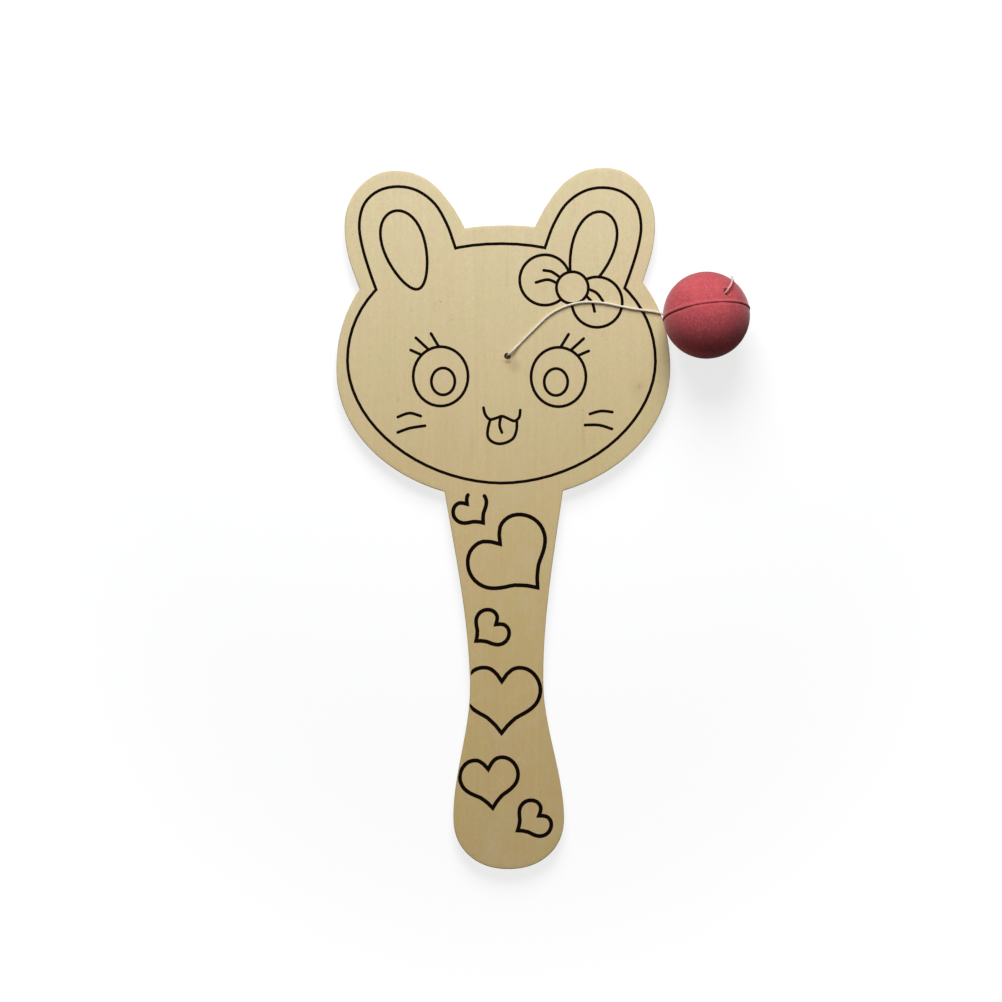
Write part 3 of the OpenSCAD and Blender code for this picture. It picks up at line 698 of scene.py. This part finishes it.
def handled(f, base, along_x):
    """The same colour with flecks, the marks on the face, the first of them a painted shadow, and
    painted shade in the hole.
    """
    flecks = f.spots(stretched(along_x, 7.0, 11.0), 0.035)
    base = f.stain(base, flecks, 0.55, colour(120, 88, 52))
    # The first three marks, below the hole, are a painted shadow of the cord; the rest are stains.
    for middle, size, share in face_marks_and_cord_shadow:
        mark = f.blot((*middle, z3), (*size, mark_depth))
        base = f.stain(base, mark, share, colour(142, 106, 64))
    # Painted shade: the wall of the hole and its edge are painted dark brown.
    near_hole = f.blot((*hole_mid, 0), (2 * hole_r, 2 * hole_r, hole_shade_depth))
    return f.stain(base, f.step(near_hole, 0.3, 0.48), 0.85, colour(66, 42, 24))


def sawn(f, base, along_x, facing):
    """The same colour with dark cut ends, lines of glue between the plies and a worn rim."""
    ends = f.step(f.sum("ABSOLUTE", facing[0 if along_x else 1], 0), 0.35, 0.9)
    end_tone = f.mix(f.noise((0.13, 0.13, 0.13), 2), colour(150, 120, 76), colour(188, 160, 110))
    base = f.stain(base, ends, 0.85, end_tone)
    z = f.parts(f.place((1, 1, 1)))[2]
    to_glue = [f.sum("ABSOLUTE", f.sum("SUBTRACT", z, level), 0) for level in (z1, z2)]
    base = f.stain(base, f.step(f.sum("MINIMUM", *to_glue), 0.11, 0.02), 0.7, colour(120, 92, 56))
    patchy = f.step(f.noise((3, 3, 3), 3), 0.35, 0.65)
    worn = f.sum("MULTIPLY", f.step(f.mark("rim"), 0.55, 1.0), patchy)
    return f.stain(base, worn, 0.3, colour(150, 126, 86))


def wood_finish(name, along_x, pale, deep, pore_share):
    f = Finish(name, Specular_IOR_Level=0.3)
    streaks = f.noise(stretched(along_x, 1.5, 70), 4, 0.6, 0.25)
    pores = f.step(f.noise(stretched(along_x, 0.22, 3.4), 2, 0.6), 0.63, 0.74)
    facing = f.parts(f.add("ShaderNodeNewGeometry", {}, "Normal"))
    base = f.stain(grown(f, streaks, along_x, pale, deep), pores, pore_share, colour(158, 130, 84))
    base = sawn(f, handled(f, base, along_x), along_x, facing)
    rough = f.sum("ADD", f.sum("MULTIPLY", streaks, 0.22), f.sum("MULTIPLY", pores, 0.2))
    rough = f.sum("ADD", rough, 0.42)
    on_edge = f.step(f.sum("ABSOLUTE", facing[2], 0), 0.9, 0.3)
    saw_lines = f.sum("MULTIPLY", f.noise((0.35, 0.35, 30), 2), on_edge)
    height = f.sum("SUBTRACT", f.sum("MULTIPLY", streaks, 0.6), f.sum("MULTIPLY", pores, 0.5))
    return f.use(base, rough, f.sum("ADD", height, saw_lines), 0.03)


outer_wood = wood_finish("outer_veneer", False, (222, 207, 169), (217, 201, 162), 0.22)
core_wood = wood_finish("core_veneer", True, (206, 182, 134), (184, 156, 108), 0.5)
dress(front, "paddle", outer_wood, "wood_face", "front_veneer")
dress(core, "paddle", core_wood, "wood_core", "core_veneer")
dress(back, "paddle", outer_wood, "wood_face", "back_veneer")
print("wood made of", len(outer_wood.node_tree.nodes), "nodes")

# %% [markdown]
# ## The prints
# The face and the hearts are printed in one dark ink. The CAD lines are 0.08 mm thick so that they can
# be solids. Real ink is thinner and sinks into the grain, so each print is a copy pressed to 0.03 mm.
# Where a heart runs off the board, its ends are drawn back to where the sanded edge begins.

# %% Press the prints onto the face
film_t, on_face_within = 0.03, 0.01


def pressed_print(name, node):
    """A copy of a CAD print, thinned to a film and kept on the flat of the face."""
    piece = bpy.data.objects.new(name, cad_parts[node].data.copy())
    bpy.context.scene.collection.objects.link(piece)
    flat_edge = drawn_in(outline, ease)
    moved = 0
    for v in piece.data.vertices:
        here = np.array(v.co[:2]) / mm
        away = np.linalg.norm(outline - here, axis=1)
        nearest = int(away.argmin())
        if away[nearest] < ease:
            v.co.x, v.co.y = (c * mm for c in flat_edge[nearest])
            moved += 1
        v.co.z = (z3 + film_t) * mm if v.co.z > face_z + on_face_within * mm else face_z
    bm = bmesh.new()
    bm.from_mesh(piece.data)
    bmesh.ops.remove_doubles(bm, verts=bm.verts, dist=weld)
    bmesh.ops.recalc_face_normals(bm, faces=bm.faces)
    bm.to_mesh(piece.data)
    bm.free()
    shade(piece, 30)
    print(name, len(piece.data.polygons), "faces,", moved, "points drawn back")
    return piece


def ink_finish():
    f = Finish("printing_ink", Specular_IOR_Level=0.03)
    grain = f.noise(stretched(False, 0.22, 3.4), 2, 0.6)
    thin = f.step(grain, 0.6, 0.78)
    tone = f.mix(f.noise((6, 6, 6), 3), colour(5, 1, 0), colour(16, 6, 3))
    base = f.stain(tone, thin, 0.11, colour(96, 70, 44))
    rough = f.sum("ADD", f.sum("MULTIPLY", grain, 0.3), 0.4)
    height = f.sum("MULTIPLY", grain, -1.0)
    return f.use(base, rough, height, 0.02)


ink = ink_finish()
dress(pressed_print("printed_face", "face_print"), "paddle", ink, "ink", "face_print")
dress(pressed_print("printed_hearts", "heart_print"), "paddle", ink, "ink", "heart_print")

# %% [markdown]
# ## The ball
# The ball is moulded in two cups of soft rubber, glued at a seam where the upper cup's edge swells into
# a lip. The elastic's hole is only 15 degrees from that seam. A sphere with a hole cut by a boolean
# gives ragged faces there, so the upper cup is one net of lines that run from the seam to the hole:
# its rings are the lip, the cup's skin, the dimple, the hole's wall and the inside.

# %% The ball's own directions
seam_lean, seam_turn = math.radians(103.5), math.radians(96.5)
flat_way = np.array([math.cos(seam_turn), math.sin(seam_turn), 0])
pole = math.sin(seam_lean) * flat_way + np.array([0, 0, math.cos(seam_lean)])
across = np.cross(pole, hole_way)
across /= np.linalg.norm(across)
toward_hole = np.cross(across, pole)
wall = 4.0
cup_r = ball_r - wall
print("the hole is", round(math.degrees(math.asin(pole @ hole_way)), 1), "degrees above the seam")

# %% Helpers: the skin and the seam
short_by, dents, grain_h = 0.05, 0.045, 0.008
dents_from = Vector((5, 2, 9))
gape_at = (-1, -0.8, -0.62, -0.47, -0.3, 0.3, 0.5, 0.8, 1)
gape_there = (0.5, 0.7, 1.05, 0.35, 0, 0, 0.3, 0.35, 0.6)
wave_size, wave_count = 1.6, 4.2


def unevenness(way):
    """How far the moulded skin falls short of round, in mm, in that direction."""
    p = Vector(way * ball_r)
    slow = noise.noise(p * 0.16 + dents_from) + 0.5 * noise.noise(p * 0.42)
    return short_by + dents * slow + grain_h * noise.noise(p * 1.9)


def seam_point(turn, out, height):
    """A point near the seam: its turn round the pole, its distance from the axis and its height."""
    flat = math.cos(turn) * toward_hole + math.sin(turn) * across
    return ball_mid + out * flat + height * pole


def gape(turn):
    """How far the seam gapes at that turn, from 0 to 1. It is closed at the top of the ball."""
    sideways = (seam_point(turn, ball_r, 0) - ball_mid)[0] / ball_r
    return float(np.interp(sideways, gape_at, gape_there))


def seam_wave(turn, seed):
    """A slow irregular wave along the seam, from about -1 to 1."""
    place = Vector((wave_count * math.cos(turn), wave_count * math.sin(turn), seed))
    return wave_size * noise.noise(place)


print("the seam gapes most", round(-gape_at[2] * ball_r, 1), "mm left of the ball's middle")

# %% [markdown]
# ## The upper cup
# The lines start evenly round the seam, but they bunch up where the hole is near. Spacing them by the
# mean of their angle round the pole and their angle round the hole keeps both ends well covered.

# %% Choose the lines of the net
line_count, fine_count = 208, 4001
lip_top_h = 1.6
collar_lean = math.asin(lip_top_h / ball_r)
many = np.linspace(0, 2 * math.pi, fine_count)
collar = np.cos(collar_lean) * (np.outer(np.cos(many), toward_hole) + np.outer(np.sin(many), across))
collar += math.sin(collar_lean) * pole
hole_side = np.cross(across, hole_way)
round_hole = np.unwrap(np.arctan2(collar @ across, collar @ hole_side))
round_hole = (round_hole - round_hole[0]) * (1 if round_hole[-1] > round_hole[0] else -1)
spacing = (many + round_hole) / 2
turns_of_lines = np.interp(np.linspace(0, spacing[-1], line_count + 1)[:-1], spacing, many)
steps = np.degrees(np.diff(turns_of_lines))
print("steps round the seam from", round(steps.min(), 2), "to", round(steps.max(), 2), "degrees")

# %% Rings of the lip
# Each place in the profile is a distance from the pole's axis and a height above the seam.
lip_profile = [
    (cup_r, 0), (13.2, 0), (14.7, 0), (15.2, 0.0), (15.45, 0.03), (15.62, 0.12), (15.71, 0.28),
    (15.74, 0.5), (15.71, 0.72), (15.64, 0.92), (15.56, 1.1), (15.49, 1.3),
]
free_lip, tuck, tuck_h = 15.3, 0.16, 0.5


def lip_rings(turn):
    """The upper cup's edge, from the inside of the seam out, round the lip and onto the skin."""
    closed = 1 - gape(turn)
    swell = 0.05 * seam_wave(turn, 1.5) - 0.03 - 0.04 * closed
    fat = 1 + 0.14 * seam_wave(turn, 7.5)
    rings = []
    for out, height in lip_profile:
        if out > free_lip:
            out += swell - tuck * closed * max(0.0, 1 - height / tuck_h)
        rings.append(seam_point(turn, out, height * fat))
    return rings


lip_out = max(out for out, height in lip_profile) - ball_r
print("the lip stands", round(lip_out, 2), "mm proud of the ball")

# %% Rings of the skin, the dimple and the hole
cord_hole_r, dimple_r, dimple_h, mouth_drop = 0.95, 1.6, 1.0, 0.25
skin_steps, wall_steps, inside_steps = 60, 6, 24
dimple_edge, mouth = dimple_r / ball_r, cord_hole_r / ball_r
dimple_shares = (1.12, 1.04, 0.98, 0.9, 0.82, 0.74, 0.67)
skin_end, dimple_start, mouth_end = 1.22, 1.05, 1.04
ridge_h, ridge_at, ridge_w = 0.1, 1.15, 0.16


def way_from_hole(start):
    """The direction at the hole that points towards start, on the ball."""
    side = start - (start @ hole_way) * hole_way
    return side / np.linalg.norm(side)


def skin_point(a, way_out):
    """A point of the skin at that angle from the hole's axis, where it dips or rises in a ridge."""
    way = math.cos(a) * hole_way + math.sin(a) * way_out
    drawn = 1 - min(1.0, max(0.0, (a - mouth) / (dimple_edge * dimple_start - mouth)))
    ridge = ridge_h * math.exp(-(((a - dimple_edge * ridge_at) / (dimple_edge * ridge_w)) ** 2))
    return ball_mid + (ball_r - unevenness(way) - dimple_h * drawn**1.6 + ridge) * way


def upper_line(turn):
    """All points of one line of the net, from the seam's inside over the skin to the hole and back."""
    skin_start = (seam_point(turn, ball_r * math.cos(collar_lean), lip_top_h) - ball_mid) / ball_r
    inside_start = seam_point(turn, 1, 0) - ball_mid
    way_out, way_in = way_from_hole(skin_start), way_from_hole(inside_start)
    far, near = math.acos(np.clip(skin_start @ hole_way, -1, 1)), dimple_edge * skin_end
    angles = [far + (near - far) * k / skin_steps for k in range(skin_steps + 1)]
    angles += [dimple_edge * share for share in dimple_shares] + [mouth * mouth_end]
    line = lip_rings(turn) + [skin_point(a, way_out) for a in angles]
    inner_mouth = math.asin(cord_hole_r / cup_r)
    wall_from, wall_to = ball_r - dimple_h - mouth_drop, cup_r * math.cos(inner_mouth)
    for reach in np.linspace(wall_from, wall_to, wall_steps):
        line.append(ball_mid + reach * hole_way + cord_hole_r * way_out)
    far_in = math.acos(np.clip(inside_start @ hole_way, -1, 1))
    for k in range(1, inside_steps):
        share = k / inside_steps
        a = inner_mouth + (far_in - inner_mouth) * share
        side = way_out * (1 - share) + way_in * share
        side /= np.linalg.norm(side)
        line.append(ball_mid + cup_r * (math.cos(a) * hole_way + math.sin(a) * side))
    return line


net = [upper_line(t) for t in turns_of_lines]
print("net of", len(net), "lines and", len(net[0]), "rings")


# %% Sew the net together
def net_faces(lines, rows, strips):
    """Faces between neighbouring lines, along those strips. The last line meets the first."""
    faces = []
    for i in range(lines):
        here, there = i * rows, (i + 1) % lines * rows
        for k in strips:
            onward = (k + 1) % rows
            faces.append((here + k, here + onward, there + onward, there + k))
    return faces


def sewn(name, net, open_row=None):
    """A closed mesh of a net. At an open row, the lines end on a face and start again on another."""
    lines, rows = len(net), len(net[0])
    faces = net_faces(lines, rows, [k for k in range(rows) if k != open_row])
    if open_row is not None:
        faces += [tuple(i * rows + row for i in range(lines)) for row in (open_row, open_row + 1)]
    piece = new_piece(name, [p for line in net for p in line], faces)
    face_outwards(piece)
    shade(piece, 62)
    return piece


skin_depth = 1.5
lip_highlight_mid, lip_highlight_half = 0.6, 0.9
crack_shade_mid, crack_shade_half = -0.12, 0.32


def mark_seam(piece):
    """Keeps how near each point is to the lip, for a painted highlight there, and to the gaping seam,
    for painted shade in it.
    """
    lip, crack_shade = [], []
    for v in piece.data.vertices:
        p = np.array(v.co) / mm - ball_mid
        height, turn = float(p @ pole), math.atan2(p @ across, p @ toward_hole)
        outer = np.linalg.norm(p) > ball_r - skin_depth
        on_crack_shade = max(0.0, 1 - abs(height - crack_shade_mid) / crack_shade_half)
        lip.append(max(0.0, 1 - abs(height - lip_highlight_mid) / lip_highlight_half) if outer else 0.0)
        crack_shade.append(on_crack_shade * gape(turn) if outer else 0.0)
    for name, values in (("lip", lip), ("crack_shade", crack_shade)):
        piece.data.attributes.new(name, "FLOAT", "POINT").data.foreach_set("value", values)


upper = sewn("ball_upper_cup", net)
mark_seam(upper)
print("upper cup:", size_mm(upper), "mm,", len(upper.data.polygons), "faces")

# %% [markdown]
# ## The lower cup
# The lower cup has no hole, so it is turned like a bowl on a lathe: one profile, spun round the pole.
# Its edge is rounded off under the lip, which leaves the dark line that shows where the cups meet;
# painted shade darkens that line where the seam gapes. The line gapes at the ball's sides and nearly
# closes at its top, because the lip was trimmed by hand.

# %% Spin the lower cup
bowl_edge = [
    (cup_r, 0), (13.2, 0), (14.6, 0), (14.9, -0.03), (15.05, -0.12), (15.17, -0.24), (15.27, -0.4),
    (15.35, -0.6), (15.4, -0.85),
]
free_edge, edge_swell = 15.2, 0.07
least_open, most_open = 0.04, 1.25
bowl_steps, bowl_inside_steps, bowl_lines = 48, 24, 176
skin_from, skin_to, inside_to = 4.6, 89.2, 3.2


def lower_line(turn):
    """One line of the lower cup, from the inside of the seam over the edge to the bottom and back."""
    closed = 1 - gape(turn)
    opening = max(least_open, most_open - 1.1 * closed + 0.12 * seam_wave(turn, 3.3))
    line = []
    for out, height in bowl_edge:
        swell = edge_swell * closed if out > free_edge else 0
        line.append(seam_point(turn, out + swell, height * opening))
    for lean in np.radians(np.linspace(skin_from, skin_to, bowl_steps + 1)):
        way = seam_point(turn, math.cos(lean), -math.sin(lean)) - ball_mid
        line.append(ball_mid + (ball_r - unevenness(way)) * way)
    for lean in np.radians(np.linspace(skin_to, inside_to, bowl_inside_steps + 1)):
        line.append(seam_point(turn, cup_r * math.cos(lean), -cup_r * math.sin(lean)))
    return line


bowl_net = [lower_line(2 * math.pi * k / bowl_lines) for k in range(bowl_lines)]
lower = sewn("ball_lower_cup", bowl_net, len(bowl_edge) + bowl_steps)
mark_seam(lower)
print("lower cup:", size_mm(lower), "mm,", len(lower.data.polygons), "faces")

# %% [markdown]
# ## The finish of the rubber
# Cheap moulded rubber is dull, and chalk from the mould still clings to it: it pales towards the
# outline, where the dust is seen edge on. Gloss would look like plastic. A sheen gives that pale rim in
# any light, mottling comes from slow noise, and fine noise makes the pitted skin.

# %% Mix the rubber
def rubber_finish():
    f = Finish("dusty_rubber", Specular_IOR_Level=0.02, Sheen_Weight=0.55, Sheen_Roughness=0.4)
    f.shader.inputs["Sheen Tint"].default_value = colour(255, 222, 222)
    slow = f.noise((7, 7, 7), 3, 0.55)
    grit = f.noise((1.0, 1.0, 1.0), 3, 0.7)
    patches = f.noise((2.4, 2.4, 2.4), 3, 0.6)
    chalk = f.noise((0.9, 0.9, 0.9), 3, 0.7)
    pits = f.noise((0.32, 0.32, 0.32), 3, 0.6)
    crumbs = f.spots((4.5, 4.5, 4.5), 0.075)
    base = f.mix(f.step(slow, 0.35, 0.65), colour(176, 72, 80), colour(184, 78, 82))
    stains = [
        (f.step(grit, 0.42, 0.62), 0.36, (206, 102, 108)),
        (f.step(patches, 0.45, 0.7), 0.35, (166, 67, 75)),
        (f.step(chalk, 0.55, 0.75), 0.42, (214, 134, 138)),
        (f.step(pits, 0.5, 0.68), 0.3, (146, 50, 58)),
        (crumbs, 0.5, (228, 140, 142)),
        # Painted highlight: the band along the lip is painted paler.
        (f.mark("lip"), 0.3, (206, 104, 108)),
        # Painted shade: the gaping seam is painted dark red.
        (f.mark("crack_shade"), 0.9, (72, 15, 22)),
    ]
    for where, share, tone in stains:
        base = f.stain(base, where, share, colour(*tone))
    rough = f.sum("ADD", f.sum("MULTIPLY", patches, 0.2), 0.7)
    height = f.sum("ADD", f.sum("MULTIPLY", pits, 0.45), f.sum("MULTIPLY", crumbs, 0.6))
    height = f.sum("ADD", height, f.sum("MULTIPLY", patches, 0.5))
    return f.use(base, rough, height, 0.07)


rubber = rubber_finish()
dress(upper, "ball", rubber, "ball_rubber", "ball_upper_shell")
dress(lower, "ball", rubber, "ball_rubber", "ball_lower_shell")
print("rubber made of", len(rubber.node_tree.nodes), "nodes")

# %% [markdown]
# ## Floor, lamp and daylight
# The photograph is lit by one window beyond the ears, and low: the ball's far side is bright, its near
# side almost dark, and the wood fades towards the handle. A single soft lamp at that place does the
# same. The floor is plain and pale. To the camera it is lifted to white, but near the toy it still takes
# part of its brightness from the lamp, so that the shadows stay.

# %% Light the toy
lamp_lean, lamp_away = math.radians(38.5), 0.78
lamp_size, lamp_power, lamp_tint = 0.5, 8.7, (0.97, 0.99, 1.0)
to_lamp = Vector((0, math.cos(lamp_lean), math.sin(lamp_lean)))
lamp = bpy.data.objects.new("window", bpy.data.lights.new("window", "AREA"))
lamp.data.shape = "SQUARE"
lamp.data.size = lamp_size
lamp.data.energy = lamp_power
lamp.data.color = lamp_tint
lamp.location = to_lamp * lamp_away
lamp.rotation_mode = "QUATERNION"
lamp.rotation_quaternion = to_lamp.to_track_quat("Z", "Y")
bpy.context.scene.collection.objects.link(lamp)
print("window lamp at", [round(c, 2) for c in lamp.location], "m")


# %% Helpers: white to the camera only
def seen_directly(tree):
    """1 for what the camera, a mirror or glass sees, and 0 for light that falls on the toy."""
    path = tree.nodes.new("ShaderNodeLightPath")
    seen = path.outputs["Is Camera Ray"]
    for other in ("Is Glossy Ray", "Is Transmission Ray"):
        more = tree.nodes.new("ShaderNodeMath")
        more.operation = "MAXIMUM"
        tree.links.new(seen, more.inputs[0])
        tree.links.new(path.outputs[other], more.inputs[1])
        seen = more.outputs[0]
    return seen


def plain(tree, kind, tint, **values):
    """A shader node of one colour."""
    node = tree.nodes.new(kind)
    node.inputs["Color"].default_value = (*tint, 1)
    for socket, value in values.items():
        node.inputs[socket].default_value = value
    return node


def show(tree, output, falling, seen):
    """Lets one shader light the toy and shows the other to the camera."""
    pick = tree.nodes.new("ShaderNodeMixShader")
    for socket, value in enumerate((seen_directly(tree), falling.outputs[0], seen.outputs[0])):
        tree.links.new(value, pick.inputs[socket])
    tree.links.new(pick.outputs[0], tree.nodes[output].inputs[0])


sky_tint, sky_level = (1, 0.985, 0.96), 0.12
white, lit_grey, bounce_grey = (1, 1, 1), (0.3, 0.3, 0.3), (0.075, 0.075, 0.075)
print("sky level", sky_level, "and floor", bounce_grey[0], "for the light that falls on the toy")

# %% The sky
world = bpy.data.worlds.new("daylight")
bpy.context.scene.world = world
world.use_nodes = True
sky = plain(world.node_tree, "ShaderNodeBackground", sky_tint, Strength=sky_level)
backdrop = plain(world.node_tree, "ShaderNodeBackground", white, Strength=1.0)
show(world.node_tree, "World Output", sky, backdrop)
print("sky made of", len(world.node_tree.nodes), "nodes")

# %% The floor
floor_half, floor_drop = 3.0, 0.02
near_toy, far_off, least_lift = 0.12, 0.4, 0.76
far = floor_half / mm
corners = [(x * far, y * far, -floor_drop) for x, y in ((-1, -1), (1, -1), (1, 1), (-1, 1))]
floor = new_piece("floor", corners, [(0, 1, 2, 3)])
paper = bpy.data.materials.new("white_paper")
paper.use_nodes = True
tree = paper.node_tree
tree.nodes.remove(tree.nodes["Principled BSDF"])
where, reach = tree.nodes.new("ShaderNodeNewGeometry"), tree.nodes.new("ShaderNodeVectorMath")
reach.operation = "LENGTH"
rise = tree.nodes.new("ShaderNodeMapRange")
rise.interpolation_type = "SMOOTHSTEP"
rise_values = {"From Min": near_toy, "From Max": far_off, "To Min": least_lift, "To Max": 1.0}
for socket, value in rise_values.items():
    rise.inputs[socket].default_value = value
glow, lifted = plain(tree, "ShaderNodeEmission", white), tree.nodes.new("ShaderNodeAddShader")
tree.links.new(where.outputs["Position"], reach.inputs[0])
tree.links.new(reach.outputs["Value"], rise.inputs["Value"])
tree.links.new(rise.outputs[0], glow.inputs["Strength"])
tree.links.new(plain(tree, "ShaderNodeBsdfDiffuse", lit_grey).outputs[0], lifted.inputs[0])
tree.links.new(glow.outputs[0], lifted.inputs[1])
show(tree, "Material Output", plain(tree, "ShaderNodeBsdfDiffuse", bounce_grey), lifted)
floor.data.materials.append(paper)
bpy.context.scene.view_settings.view_transform = "Standard"
print("floor", 2 * floor_half, "m wide, sky level", sky_level)
